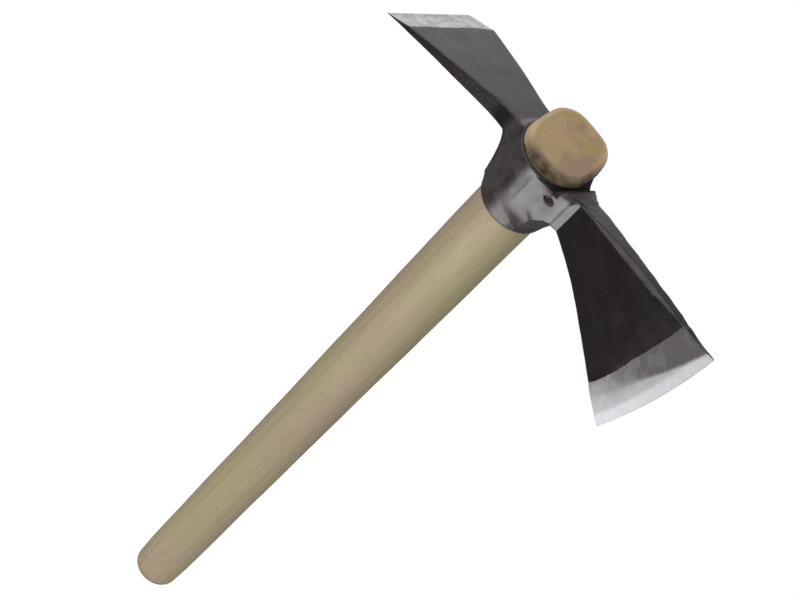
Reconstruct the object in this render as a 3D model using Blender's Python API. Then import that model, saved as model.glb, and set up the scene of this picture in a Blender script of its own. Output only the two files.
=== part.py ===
"""Small hand mattock: a forged two-bladed head on a turned wooden handle, locked by a nail.

The handle stands on its sawn butt at the origin and runs up +Z into the eye. The axe blade
points to +X and lies in the plane Y = 0; the hoe blade points to -X and lies across it.
All sizes are in metres. The handle goes into the conical eye from above, so every part of it
below the eye is thinner than the eye's mouth, and its thick end rests on the collar.
"""
import math

import bmesh
import bpy

# Clearance left between pieces that touch, so that no two bodies share a face
FIT = 0.0003

# Handle: a straight cone from the butt to the eye, then a thicker sawn end above the collar
HANDLE_LENGTH = 0.450
END_PROUD = 0.0085           # how far the sawn end stands above the collar
BUTT_RADIUS = 0.0132
BUTT_CHAMFER = 0.0010
BUTT_EASE = 0.0005           # the last stretch is drawn in by this much
BUTT_EASE_LENGTH = 0.0320
HANDLE_RADIUS_AT_EYE = 0.0166
END_HALF = 0.0189            # half size of the rounded-square end
END_TURN = math.radians(26)  # the end is not squared up with the blades
END_SHIFT = 0.0012           # and sits a little off the axis, toward +Y and -X
END_ROUNDNESS = 2.8          # 2 is an ellipse, 4 nearly a rectangle
END_ROUNDING = 0.0026        # broken edge round the sawn face
END_SLOPE = math.radians(9)  # the saw cut leans toward the -Y side
SIDES = 96                   # facets round the handle and the collar

# Collar: the conical eye of the head
COLLAR_HEIGHT = 0.0420
COLLAR_RADIUS_BOTTOM = 0.0183
COLLAR_RADIUS_TOP = 0.0203
EYE_RADIUS_TOP = 0.0187
BORE_OVERRUN = 0.0110        # how far the cutters run past the metal
COLLAR_EDGE = 0.0007

# Axe blade, in the plane of the handle
AXE_ROOT = 0.0330            # distance of its shoulder from the handle's axis
AXE_REACH = 0.1344           # cutting edge, at the toe
AXE_HEEL_BACK = 0.0174       # how far its heel, the end nearest the butt, lies back from that
AXE_ROOT_BELOW = 0.0163      # its root reaches this far below the collar's top
AXE_ROOT_ABOVE = 0.0077      # and this far above it
AXE_TOP_RISE = 0.363         # slope of the top edge
AXE_HEEL_FALL = 0.120        # slope of the lower edge at its root
AXE_HEEL_SAG = 0.0167        # and how far its curve falls further by the cutting edge
AXE_EDGE_BOW = 0.0027
AXE_HALF_ROOT = 0.0061
AXE_HALF_BEVEL = 0.0028
AXE_BEVEL = 0.0180           # width of the ground bevel
AXE_SHOULDER = 0.0011        # step between the thick neck and the cheek, less at the top
AXE_SHOULDER_RUN = 0.0016    # length of the slope that makes it
NECK_START = 0.0090          # the loft begins this far out, inside the solid cone
NECK_FLARE = 0.0074          # how far the neck swells where it leaves the collar
NECK_FLARE_END = 0.0316
NECK_FLARE_START = 0.0140
NECK_FLARE_LOW = 0.0020      # the swelling fades out between these heights of the collar
NECK_FLARE_HIGH = 0.0250
NECK_WEB_START = 0.0168      # where the curve under the axe leaves the collar
NECK_FOOT = 0.0016           # and how far above the collar's bottom rim
NECK_RAMP_START = 0.0194     # the top climbs from the rim, starting this far out
NECK_RAMP_LENGTH = 0.0030
RIM_STEP = 0.0011            # the lofts start this far under the collar's rim
CHEEK_CHAMFER = 0.0011
CUTTING_HALF = 0.00020

# Hoe blade, across the handle and falling toward the butt
HOE_ROOT = 0.0320
HOE_REACH = 0.1118
HOE_ROOT_BELOW = 0.0094      # top of its root, below the collar's top
HOE_FALL = 0.455
HOE_CROWN = 0.00090
HOE_HALF_ROOT = 0.0105
HOE_HALF_EDGE = 0.0277
HOE_THICK_ROOT = 0.0102
HOE_TAPER_LENGTH = 0.0950    # the thickness would reach nothing at this length
HOE_START = 0.0100           # the loft begins this far out, inside the solid cone
HOE_FLARE = 0.0040           # how far its top swells where it leaves the collar
HOE_FLARE_LENGTH = 0.0180
HOE_FILLET = 0.0240          # web under the root, down the side of the collar
HOE_FILLET_START = 0.0165
HOE_FILLET_LENGTH = 0.0100
HOE_CHAMFER = 0.0009
HOE_BLADE_START = 0.0324     # the close stations near the eye end here
HOE_BEVEL = 0.0142
HOE_CORNER = 0.0080          # how far the +Y corner is rounded back
HOE_EDGE_THICK = 0.0005

# Nail that stops the handle from backing out of the eye
NAIL_RADIUS = 0.0017
NAIL_HEAD_RADIUS = 0.0021
NAIL_HEAD_HEIGHT = 0.0012
NAIL_LENGTH = 0.0125
NAIL_SUNK = 0.0011           # depth of its head below the skin of the neck
NAIL_BELOW = 0.0063          # below the collar's top
NAIL_TURN = math.radians(-28)
NAIL_SKIN = 0.0222           # distance of the neck's skin from the axis at the nail
NAIL_POINT_LENGTH = 0.0025
NAIL_EDGE = 0.0004

COLLAR_TOP = HANDLE_LENGTH - END_PROUD
COLLAR_BOTTOM = COLLAR_TOP - COLLAR_HEIGHT
AXE_HEEL_REACH = AXE_REACH - AXE_HEEL_BACK


def clear_scene():
    for item in list(bpy.data.objects):
        bpy.data.objects.remove(item, do_unlink=True)


def material(name, colour, metallic, roughness):
    """One Principled material with plain values."""
    made = bpy.data.materials.new(name)
    made.use_nodes = True
    shader = made.node_tree.nodes["Principled BSDF"]
    shader.inputs["Base Color"].default_value = (*colour, 1)
    shader.inputs["Metallic"].default_value = metallic
    shader.inputs["Roughness"].default_value = roughness
    return made


def fill_end(mesh, row, flat):
    """One face over a flat ring, or a ladder of quads across a slab's thin end."""
    if flat:
        mesh.faces.new(row)
        return
    for i in range(len(row) // 2 - 1):
        mesh.faces.new((row[i], row[i + 1], row[-2 - i], row[-1 - i]))


def closed_body(name, rings, surface, flat_ends=True):
    """A closed mesh through rings of equal length."""
    mesh = bmesh.new()
    rows = [[mesh.verts.new(point) for point in ring] for ring in rings]
    for lower, upper in zip(rows, rows[1:]):
        for i in range(len(lower)):
            j = (i + 1) % len(lower)
            mesh.faces.new((lower[i], lower[j], upper[j], upper[i]))
    fill_end(mesh, rows[0], flat_ends)
    fill_end(mesh, rows[-1], flat_ends)
    bmesh.ops.recalc_face_normals(mesh, faces=mesh.faces[:])
    data = bpy.data.meshes.new(name)
    mesh.to_mesh(data)
    mesh.free()
    data.materials.append(surface)
    made = bpy.data.objects.new(name, data)
    bpy.context.collection.objects.link(made)
    return made


def circle(radius, height):
    """Ring of SIDES points about the handle's axis."""
    turns = [2 * math.pi * i / SIDES for i in range(SIDES)]
    return [(radius * math.cos(t), radius * math.sin(t), height) for t in turns]


def combine(target, other, operation):
    """Exact Boolean applied at once; the other body is removed."""
    step = target.modifiers.new(operation, "BOOLEAN")
    step.operation = operation
    step.solver = "EXACT"
    step.object = other
    shape = bpy.data.meshes.new_from_object(target.evaluated_get(bpy.context.evaluated_depsgraph_get()))
    target.modifiers.clear()
    target.data = shape
    bpy.data.objects.remove(other, do_unlink=True)


def shade(item, degrees):
    item.data.shade_smooth()
    item.data.set_sharp_from_angle(angle=math.radians(degrees))


def eye_radius(height):
    """Radius of the conical eye; its mouth just passes the handle."""
    mouth = HANDLE_RADIUS_AT_EYE + FIT
    share = (height - COLLAR_BOTTOM) / COLLAR_HEIGHT
    return mouth + (EYE_RADIUS_TOP - mouth) * share


def end_ring(inset, height, slope_share):
    """Ring of the rounded-square end; slope_share 1 puts it on the leaning saw cut."""
    ring = []
    for i in range(SIDES):
        turn = 2 * math.pi * i / SIDES
        across, deep = abs(math.cos(turn - END_TURN)), abs(math.sin(turn - END_TURN))
        powers = across ** END_ROUNDNESS + deep ** END_ROUNDNESS
        radius = (END_HALF - inset) * powers ** (-1 / END_ROUNDNESS)
        x = radius * math.cos(turn) - END_SHIFT * math.sin(END_TURN)
        y = radius * math.sin(turn) + END_SHIFT * math.cos(END_TURN)
        lean = math.tan(END_SLOPE) * (y * math.cos(END_TURN) - x * math.sin(END_TURN))
        ring.append((x, y, height + lean * slope_share))
    return ring


def grip_radius(height):
    """Straight taper from the butt to the eye, drawn in a little toward the butt."""
    slope = (HANDLE_RADIUS_AT_EYE - BUTT_RADIUS) / COLLAR_BOTTOM
    ease = BUTT_EASE * max(1 - height / BUTT_EASE_LENGTH, 0) ** 2
    return BUTT_RADIUS + slope * height - ease


def build_handle(wood):
    """Straight cone, cone inside the eye, then the proud end with its rounded edge."""
    rings = [circle(grip_radius(0) - BUTT_CHAMFER, 0)]
    heights = [BUTT_CHAMFER] + [BUTT_EASE_LENGTH * i / 4 for i in range(1, 4)]
    heights += [BUTT_EASE_LENGTH + (COLLAR_BOTTOM - BUTT_EASE_LENGTH) * i / 11 for i in range(12)]
    rings += [circle(grip_radius(height), height) for height in heights]
    for i in range(1, 6):
        height = COLLAR_BOTTOM + COLLAR_HEIGHT * i / 5
        rings.append(circle(eye_radius(height) - FIT, height))
    seat = COLLAR_TOP + FIT
    rings.append(circle(eye_radius(COLLAR_TOP) - FIT, seat))
    rings.append(end_ring(2 * FIT, seat + 1.5 * FIT, 0))
    rings.append(end_ring(0, seat + 5 * FIT, 0.1))
    for i in range(6):
        turn = math.pi / 2 * i / 5
        inset = END_ROUNDING * (1 - math.cos(turn))
        rise = END_ROUNDING * (math.sin(turn) - 1)
        rings.append(end_ring(inset, HANDLE_LENGTH + rise, 1))
    return closed_body("handle", rings, wood)


def collar_body(steel):
    """Solid cone with broken rims; the eye is bored later."""
    rings = [circle(COLLAR_RADIUS_BOTTOM - COLLAR_EDGE, COLLAR_BOTTOM),
             circle(COLLAR_RADIUS_BOTTOM, COLLAR_BOTTOM + COLLAR_EDGE),
             circle(COLLAR_RADIUS_TOP, COLLAR_TOP - COLLAR_EDGE),
             circle(COLLAR_RADIUS_TOP - COLLAR_EDGE, COLLAR_TOP)]
    return closed_body("head", rings, steel)


def slab_ring(columns, place):
    """Ring round a flat section with chamfered corners.

    columns are shares 0..1 from one edge to the other; place(share, side, edge) gives a point,
    side being +1 or -1 for the two faces and edge 1 where the chamfer has been taken off.
    """
    ring = []
    for side in (1, -1):
        order = columns if side == 1 else columns[::-1]
        ring.append(place(order[0], side, 1))
        ring.extend(place(share, side, 0) for share in order)
        ring.append(place(order[-1], side, 1))
    return ring


def axe_lower(reach):
    out = max(reach - AXE_ROOT, 0)
    share = out / (AXE_HEEL_REACH - AXE_ROOT)
    return COLLAR_TOP - AXE_ROOT_BELOW - AXE_HEEL_FALL * out - AXE_HEEL_SAG * share ** 2


def axe_upper(reach):
    return COLLAR_TOP + AXE_ROOT_ABOVE + AXE_TOP_RISE * (reach - AXE_ROOT)


def axe_edge_reach(share):
    """Reach of the cutting edge, share 0 at the heel and 1 at the toe."""
    bow = AXE_EDGE_BOW * 4 * share * (1 - share)
    return AXE_HEEL_REACH + AXE_HEEL_BACK * share + bow


def share_between(value, start, end):
    """0 at start, 1 at end, held outside them."""
    return min(max((value - start) / (end - start), 0), 1)


def eased(share):
    return share * share * (3 - 2 * share)


def axe_neck_ring(reach, columns):
    """Section of the neck between the eye and the shoulder, hollowed like a large fillet."""
    near = share_between(reach, NECK_FLARE_END, NECK_FLARE_START)
    under = share_between(reach, NECK_WEB_START, AXE_ROOT)
    foot = COLLAR_BOTTOM + NECK_FOOT
    bottom = axe_lower(reach) + (foot - axe_lower(reach)) * (1 - under) ** 2.2
    ramp = eased(share_between(reach, NECK_RAMP_START, NECK_RAMP_START + NECK_RAMP_LENGTH))
    crest = COLLAR_TOP - RIM_STEP
    top = crest + (axe_upper(reach) - crest) * ramp

    def place(share, side, edge):
        height = bottom + (top - bottom) * share
        if share in (0, 1) and not edge:
            height += CHEEK_CHAMFER * (1 if share == 0 else -1)
        wide = eased(share_between(height - COLLAR_BOTTOM, NECK_FLARE_LOW, NECK_FLARE_HIGH))
        half = AXE_HALF_ROOT + AXE_SHOULDER * (1 - share ** 4) + NECK_FLARE * near ** 1.3 * wide
        return (reach, side * (half - CHEEK_CHAMFER * edge), height)
    return slab_ring(columns, place)


def axe_blade_ring(along, half, columns):
    """Section of the blade; along is 0 at the shoulder and 1 at the cutting edge."""
    chamfer = min(CHEEK_CHAMFER, half * 0.4)

    def place(share, side, edge):
        reach = AXE_ROOT + (axe_edge_reach(share) - AXE_ROOT) * along
        lower = axe_lower(AXE_ROOT + (axe_edge_reach(0) - AXE_ROOT) * along)
        upper = axe_upper(AXE_ROOT + (axe_edge_reach(1) - AXE_ROOT) * along)
        height = lower + (upper - lower) * share
        if share in (0, 1) and not edge:
            height += chamfer * (1 if share == 0 else -1)
        return (reach, side * (half - chamfer * edge), height)
    return slab_ring(columns, place)


def axe_body(steel):
    """Neck and blade in one loft, thinning to the bevel and then to the edge."""
    columns = [i / 10 for i in range(11)]
    reaches = [NECK_START + (NECK_WEB_START - NECK_START) * i / 4 for i in range(4)]
    shoulder = AXE_ROOT - AXE_SHOULDER_RUN
    reaches += [NECK_WEB_START + (shoulder - NECK_WEB_START) * i / 20 for i in range(21)]
    rings = [axe_neck_ring(reach, columns) for reach in reaches]
    length = (AXE_HEEL_REACH + AXE_REACH) / 2 - AXE_ROOT
    ground = 1 - AXE_BEVEL / length
    for i in range(11):
        share = i / 10
        half = AXE_HALF_ROOT + (AXE_HALF_BEVEL - AXE_HALF_ROOT) * share ** 1.5
        rings.append(axe_blade_ring(ground * share, half, columns))
    for i in range(1, 6):
        share = i / 5
        half = AXE_HALF_BEVEL + (CUTTING_HALF - AXE_HALF_BEVEL) * share
        rings.append(axe_blade_ring(ground + (1 - ground) * share, half, columns))
    return closed_body("axe blade", rings, steel, flat_ends=False)


def hoe_top(reach):
    out = reach - HOE_ROOT
    span = HOE_REACH - HOE_ROOT
    crown = HOE_CROWN * 4 * out * (span - out) / span ** 2
    return COLLAR_TOP - HOE_ROOT_BELOW - HOE_FALL * out + crown


def hoe_half_width(reach, flare):
    """Half width of the hoe; nearer than its root it flares into the collar."""
    share = (reach - HOE_ROOT) / (HOE_REACH - HOE_ROOT)
    if share < 0:
        return HOE_HALF_ROOT + flare * share_between(HOE_ROOT - reach, 0, HOE_FLARE_LENGTH) ** 2
    return HOE_HALF_ROOT + (HOE_HALF_EDGE - HOE_HALF_ROOT) * (0.88 * share + 0.12 * share * share)


def hoe_thickness(reach):
    body = HOE_THICK_ROOT * max(1 - (reach - HOE_ROOT) / HOE_TAPER_LENGTH, 0) ** 1.4
    near = share_between(reach, HOE_FILLET_START + HOE_FILLET_LENGTH, HOE_FILLET_START)
    return body + HOE_FILLET * near ** 1.7


def hoe_edge_reach(share):
    """Reach of the cutting edge from the -Y corner (0) to the rounded +Y corner (1)."""
    return HOE_REACH - HOE_CORNER * max((share - 0.91) / 0.09, 0) ** 1.5


def hoe_ring(along, ground, columns):
    """Section of the hoe; ground is 0 on the blade and grows to 1 over the bevel."""
    def place(share, side, edge):
        reach = HOE_START + (hoe_edge_reach(share) - HOE_START) * along
        thick = max(hoe_thickness(reach), HOE_EDGE_THICK)
        top = min(hoe_top(reach), COLLAR_TOP - RIM_STEP)
        bottom = top - thick
        top -= ground * (thick - HOE_EDGE_THICK)
        chamfer = min(HOE_CHAMFER, (top - bottom) * 0.3)
        half = hoe_half_width(reach, HOE_FLARE if side == 1 else 0) - chamfer * (1 - edge)
        across = half * (2 * share - 1)
        height = top if side == 1 else bottom
        return (-reach, across, height - side * chamfer * edge)
    return slab_ring(columns, place)


def hoe_body(steel):
    """Root, blade and ground edge of the hoe in one loft."""
    columns = [0, 0.1, 0.22, 0.34, 0.46, 0.58, 0.70, 0.80, 0.87, 0.91, 0.94, 0.97, 1]
    length = HOE_REACH - HOE_START
    start = 1 - HOE_BEVEL / length
    close = (HOE_BLADE_START - HOE_START) / length
    alongs = [close * i / 14 for i in range(14)]
    alongs += [close + (start - close) * i / 12 for i in range(13)]
    rings = [hoe_ring(along, 0, columns) for along in alongs]
    for i in range(1, 6):
        rings.append(hoe_ring(start + (1 - start) * i / 5, i / 5, columns))
    return closed_body("hoe blade", rings, steel, flat_ends=False)


def nail_frame(distance):
    """Point at a distance from the handle's axis along the nail."""
    return (distance * math.cos(NAIL_TURN), distance * math.sin(NAIL_TURN), COLLAR_TOP - NAIL_BELOW)


def pin(name, surface, stations):
    """Round body along the nail's line from (distance, radius) stations."""
    rings = []
    for distance, radius in stations:
        x, y, z = nail_frame(distance)
        ring = []
        for i in range(24):
            turn = 2 * math.pi * i / 24
            side, rise = radius * math.cos(turn), radius * math.sin(turn)
            ring.append((x - side * math.sin(NAIL_TURN), y + side * math.cos(NAIL_TURN), z + rise))
        rings.append(ring)
    return closed_body(name, rings, surface)


def build_head(steel):
    """Collar, axe and hoe forged as one body, then the eye and the nail hole are bored."""
    head = collar_body(steel)
    combine(head, axe_body(steel), "UNION")
    combine(head, hoe_body(steel), "UNION")
    below, above = COLLAR_BOTTOM - BORE_OVERRUN, COLLAR_TOP + BORE_OVERRUN
    bore = closed_body("bore", [circle(eye_radius(below), below), circle(eye_radius(above), above)], steel)
    combine(head, bore, "DIFFERENCE")
    hole = NAIL_HEAD_RADIUS + FIT
    span = [(NAIL_SKIN - BORE_OVERRUN, hole), (NAIL_SKIN + BORE_OVERRUN, hole)]
    combine(head, pin("drill", steel, span), "DIFFERENCE")
    return head


def build_nail(iron):
    outer = NAIL_SKIN - NAIL_SUNK
    shank = outer - NAIL_HEAD_HEIGHT
    inner = outer - NAIL_LENGTH
    return pin("locking_nail", iron, [
        (inner, NAIL_RADIUS * 0.35), (inner + NAIL_POINT_LENGTH, NAIL_RADIUS), (shank, NAIL_RADIUS),
        (shank, NAIL_HEAD_RADIUS), (outer - NAIL_EDGE, NAIL_HEAD_RADIUS),
        (outer, NAIL_HEAD_RADIUS - NAIL_EDGE)])


def main():
    clear_scene()
    wood = material("turned beech", (0.56, 0.44, 0.30), 0.0, 0.55)
    steel = material("black lacquered steel", (0.035, 0.028, 0.030), 0.6, 0.32)
    iron = material("bare nail iron", (0.20, 0.18, 0.17), 0.9, 0.45)
    handle = build_handle(wood)
    nail_end = NAIL_SKIN - NAIL_SUNK - NAIL_LENGTH - FIT
    pocket = NAIL_RADIUS + FIT
    span = [(nail_end, pocket), (NAIL_SKIN + BORE_OVERRUN, pocket)]
    combine(handle, pin("nail pocket", wood, span), "DIFFERENCE")
    head = build_head(steel)
    nail = build_nail(iron)
    shade(handle, 35)
    shade(head, 28)
    shade(nail, 35)
    root = bpy.data.objects.new("hand_hoe", None)
    bpy.context.collection.objects.link(root)
    for piece in (handle, head, nail):
        piece.parent = root


main()
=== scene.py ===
"""Looks of a small hand mattock: a black lacquered forging with two ground edges on a beech handle.

The tool stands on its sawn butt at the origin, the handle runs up +Z, the axe blade points to +X
and the hoe to -X. Sizes are in metres and follow the solids of the part.
"""
import math

import bmesh
import bpy
import numpy as np
from mathutils import Matrix, Vector


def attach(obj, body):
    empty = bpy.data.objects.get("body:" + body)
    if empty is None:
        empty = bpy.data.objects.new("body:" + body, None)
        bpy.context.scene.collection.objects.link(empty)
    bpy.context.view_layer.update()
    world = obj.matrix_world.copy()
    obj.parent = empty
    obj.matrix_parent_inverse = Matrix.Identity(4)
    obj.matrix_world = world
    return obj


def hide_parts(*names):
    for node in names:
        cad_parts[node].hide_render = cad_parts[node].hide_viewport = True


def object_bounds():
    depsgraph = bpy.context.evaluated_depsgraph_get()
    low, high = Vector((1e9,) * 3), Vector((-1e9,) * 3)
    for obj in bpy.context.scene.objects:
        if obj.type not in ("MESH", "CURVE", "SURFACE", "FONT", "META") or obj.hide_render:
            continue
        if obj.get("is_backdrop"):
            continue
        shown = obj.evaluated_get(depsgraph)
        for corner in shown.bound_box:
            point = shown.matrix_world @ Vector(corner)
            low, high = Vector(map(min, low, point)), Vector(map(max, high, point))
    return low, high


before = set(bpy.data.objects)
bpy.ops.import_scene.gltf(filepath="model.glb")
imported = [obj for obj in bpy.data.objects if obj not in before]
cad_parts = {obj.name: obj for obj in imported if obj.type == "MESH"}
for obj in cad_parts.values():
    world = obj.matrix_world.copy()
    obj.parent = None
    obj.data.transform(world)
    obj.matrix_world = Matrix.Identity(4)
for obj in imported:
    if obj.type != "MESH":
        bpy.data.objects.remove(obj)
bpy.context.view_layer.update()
bpy.context.scene.view_settings.view_transform = "Standard"


# Camera: the tool is seen from above its sawn end, along the flat of the axe, through a long lens
# a metre and a half away, and the picture is turned so that the handle runs to the lower left.
AIM = Vector((0, 0, 0.336))
CAMERA_AZIMUTH = math.radians(34.258)
CAMERA_ELEVATION = math.radians(46.0)
CAMERA_ROLL = math.radians(44.174)
CAMERA_DISTANCE = 1.47616
CAMERA_SIDE = (-0.023307, -0.015339)

back = Vector((math.sin(CAMERA_AZIMUTH) * math.cos(CAMERA_ELEVATION),
               -math.cos(CAMERA_AZIMUTH) * math.cos(CAMERA_ELEVATION), math.sin(CAMERA_ELEVATION)))
level = Vector((0, 0, 1)).cross(back).normalized()
upright = back.cross(level)
right = level * math.cos(CAMERA_ROLL) + upright * math.sin(CAMERA_ROLL)
up = upright * math.cos(CAMERA_ROLL) - level * math.sin(CAMERA_ROLL)
stand = AIM + back * CAMERA_DISTANCE + right * CAMERA_SIDE[0] + up * CAMERA_SIDE[1]
camera = bpy.data.objects.new("camera", bpy.data.cameras.new("camera"))
camera.data.lens, camera.data.sensor_width = 135, 36
camera.matrix_world = Matrix.Translation(stand) @ Matrix((right, up, back)).transposed().to_4x4()
bpy.context.scene.collection.objects.link(camera)
bpy.context.scene.camera = camera


# Handle: one piece of pale beech, turned to a long taper, sanded and pushed down through the eye
# from above. Its thick end was sawn off at a slant, its edge broken, and it rests on the rim.
HANDLE_LENGTH = 0.450
END_PROUD = 0.0085
COLLAR_HEIGHT = 0.0420
COLLAR_TOP = HANDLE_LENGTH - END_PROUD
COLLAR_BOTTOM = COLLAR_TOP - COLLAR_HEIGHT
BUTT_RADIUS = 0.0132
BUTT_EASE = 0.0005
BUTT_EASE_LENGTH = 0.0320
BUTT_ROUNDING = 0.0016
SHAFT_RADIUS_AT_EYE = 0.0166
EYE_RADIUS_TOP = 0.0187
EYE_AIR = 0.0003
END_HALF = 0.0189
END_TURN = math.radians(26)
END_SHIFT = 0.0012
END_ROUNDNESS = 2.8
END_ROUNDING = 0.0030
END_SLOPE = math.radians(9)
END_SWELL_HEIGHT = 0.0006    # the end swells out of the eye over this height
END_BULGE = 0.0003           # and its flank bows out this far halfway up
SHAFT_SWELL = 0.00010        # the lathe's unevenness
SAW_NICKS = 0.00008          # ragged outline of the sawn end
FACE_CROWN = 0.00035         # the sawn face falls this far toward its edge
HANDLE_COLUMNS = 176
BUTT_ROWS, GRIP_ROWS, EYE_ROWS, FLANK_ROWS, ROUNDING_ROWS, FACE_ROWS = 9, 190, 12, 12, 8, 20


def eye_radius(height):
    """Radius of the conical eye at a height above the collar's rim."""
    mouth = SHAFT_RADIUS_AT_EYE + EYE_AIR
    return EYE_RADIUS_TOP + height * (EYE_RADIUS_TOP - mouth) / COLLAR_HEIGHT


def shaft_radius(height):
    """Straight taper from butt to eye, drawn in by a parabola over the last stretch of the grip."""
    slope = (SHAFT_RADIUS_AT_EYE - BUTT_RADIUS) / COLLAR_BOTTOM
    drawn_in = np.clip(1 - height / BUTT_EASE_LENGTH, 0, None) ** 2
    return BUTT_RADIUS + slope * height - BUTT_EASE * drawn_in


def ring_quads(rows, columns):
    """Corner numbers of a grid of points that closes round its columns."""
    here = np.arange((rows - 1) * columns).reshape(rows - 1, columns)
    beside = np.roll(here, -1, axis=1)
    return np.stack([here, beside, beside + columns, here + columns], -1).reshape(-1, 4)


def fan(ring, pole):
    """Triangles from each side of a ring to one point; the ring turns round the outward normal."""
    return np.stack([ring, np.roll(ring, -1), np.full(len(ring), pole)], 1)


def mesh_piece(name, points, faces, skin, crease, fields=None):
    """Mesh object with its smooth faces, its creases over an angle in degrees and its fields."""
    mesh = bpy.data.meshes.new(name)
    mesh.from_pydata(points.tolist(), [], [corners for part in faces for corners in part.tolist()])
    for label, values in (fields or {}).items():
        mesh.attributes.new(label, "FLOAT", "POINT").data.foreach_set("value", values.astype(np.float32))
    mesh.shade_smooth()
    mesh.set_sharp_from_angle(angle=math.radians(crease))
    mesh.materials.append(skin)
    piece = bpy.data.objects.new(name, mesh)
    bpy.context.scene.collection.objects.link(piece)
    return piece


def add(tree, kind, inputs=None, **settings):
    """A node with its settings; each input takes a value or another node's output."""
    made = tree.nodes.new("ShaderNode" + kind)
    for name, value in settings.items():
        setattr(made, name, value)
    for name, value in (inputs or {}).items():
        if isinstance(value, bpy.types.NodeSocket):
            tree.links.new(value, made.inputs[name])
        else:
            made.inputs[name].default_value = value
    return made


def noise(tree, place, stretch, detail=3.0, roughness=0.55, distortion=0.0):
    """Noise with a number of features per metre along x, y and z."""
    scaled = add(tree, "Mapping", {"Vector": place, "Scale": stretch})
    made = add(tree, "TexNoise", {"Vector": scaled.outputs[0], "Scale": 1.0, "Detail": detail,
                                  "Roughness": roughness, "Distortion": distortion})
    return made.outputs["Fac"]


def span(tree, value, low, high, start=0.0, end=1.0):
    """Value from low to high eased into start to end, held outside."""
    made = add(tree, "MapRange", {"Value": value, "From Min": low, "From Max": high,
                                  "To Min": start, "To Max": end}, interpolation_type="SMOOTHSTEP")
    return made.outputs["Result"]


def blend(tree, factor, first, second):
    """Colour between first (factor 0) and second (factor 1)."""
    return add(tree, "Mix", {0: factor, 6: first, 7: second}, data_type="RGBA").outputs[2]


def calc(tree, operation, first, second=0.0):
    return add(tree, "Math", {0: first, 1: second}, operation=operation).outputs[0]


def times(tree, first, second):
    return calc(tree, "MULTIPLY", first, second)


def plus(tree, first, second):
    return calc(tree, "ADD", first, second)


def vector(tree, operation, first, second=(0, 0, 0), gives="Vector"):
    """Vector maths; a dot product and a length give their number as Value."""
    return add(tree, "VectorMath", {0: first, 1: second}, operation=operation).outputs[gives]


def blank_material(name):
    """A material with a bare Principled shader, its tree and that shader."""
    made = bpy.data.materials.new(name)
    made.use_nodes = True
    return made, made.node_tree, made.node_tree.nodes["Principled BSDF"]


def new_group(name, inputs, outputs):
    """An empty shader group with its sockets; gives the group, its input and its output node."""
    group = bpy.data.node_groups.new(name, "ShaderNodeTree")
    for way, sockets in (("INPUT", inputs), ("OUTPUT", outputs)):
        for label, kind in sockets:
            group.interface.new_socket(label, in_out=way, socket_type="NodeSocket" + kind)
    return group, group.nodes.new("NodeGroupInput"), group.nodes.new("NodeGroupOutput")


# Specks of dust and grit that lie on the forging and in the nail's hole: small round spots.
specks, given, result = new_group(
    "specks", [("Vector", "Vector"), ("Spacing", "Float"), ("Amount", "Float")], [("Mask", "Float")])
cells = add(specks, "TexVoronoi", {"Vector": given.outputs["Vector"], "Scale": given.outputs["Spacing"]})
chosen = add(specks, "SeparateColor", {0: cells.outputs["Color"]})
size = times(specks, chosen.outputs[1], 0.22)
spot = calc(specks, "LESS_THAN", cells.outputs["Distance"], size)
some = calc(specks, "LESS_THAN", chosen.outputs[0], given.outputs["Amount"])
specks.links.new(times(specks, spot, some), result.inputs["Mask"])

# Grain of one billet: rings round a pith that lay beside the stick, fine fibres along it, and the
# short dark flecks of the rays. It is one pattern in space, so the sawn ends show its cross-cut.
PITH = (-0.046, 0.071, 0.0)
grain, given, result = new_group("beech grain", [("Vector", "Vector"), ("Ring Width", "Float")],
                                 [("Ring", "Float"), ("Fibre", "Float"), ("Fleck", "Float")])
place = given.outputs["Vector"]
sway = times(grain, noise(grain, place, (22, 22, 3.2), detail=2), 0.010)
off_pith = vector(grain, "MULTIPLY", vector(grain, "SUBTRACT", place, PITH), (1, 1, 0))
from_pith = vector(grain, "LENGTH", off_pith, gives="Value")
age = calc(grain, "DIVIDE", plus(grain, from_pith, sway), given.outputs["Ring Width"])
grain.links.new(span(grain, calc(grain, "FRACT", age), 0.35, 0.97), result.inputs["Ring"])
grain.links.new(noise(grain, place, (1500, 1500, 26), detail=4, roughness=0.65), result.inputs["Fibre"])
ray_ends = noise(grain, place, (1100, 1100, 240), detail=1.5)
grain.links.new(span(grain, ray_ends, 0.63, 0.70), result.inputs["Fleck"])

wood, tree, shader = blank_material("turned beech")
place = add(tree, "TexCoord").outputs["Object"]
figure = add(tree, "Group", {"Vector": place, "Ring Width": 0.0031}, node_tree=grain)
ring, fibre, fleck = (figure.outputs[label] for label in ("Ring", "Fibre", "Fleck"))
flank = add(tree, "Attribute", attribute_name="end_flank").outputs["Fac"]
face = add(tree, "Attribute", attribute_name="sawn_face").outputs["Fac"]
height = add(tree, "SeparateXYZ", {0: place}).outputs["Z"]

colour = blend(tree, span(tree, noise(tree, place, (34, 34, 12), detail=2), 0.36, 0.64),
               (0.385, 0.345, 0.186, 1), (0.405, 0.318, 0.214, 1))
colour = blend(tree, span(tree, ring, 0, 1, 0, 0.24), colour, (0.270, 0.200, 0.125, 1))
colour = blend(tree, span(tree, fibre, 0.35, 0.70, 0.0, 0.28), colour, (0.255, 0.200, 0.140, 1))
colour = blend(tree, times(tree, fleck, 0.34), colour, (0.185, 0.120, 0.070, 1))

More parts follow.
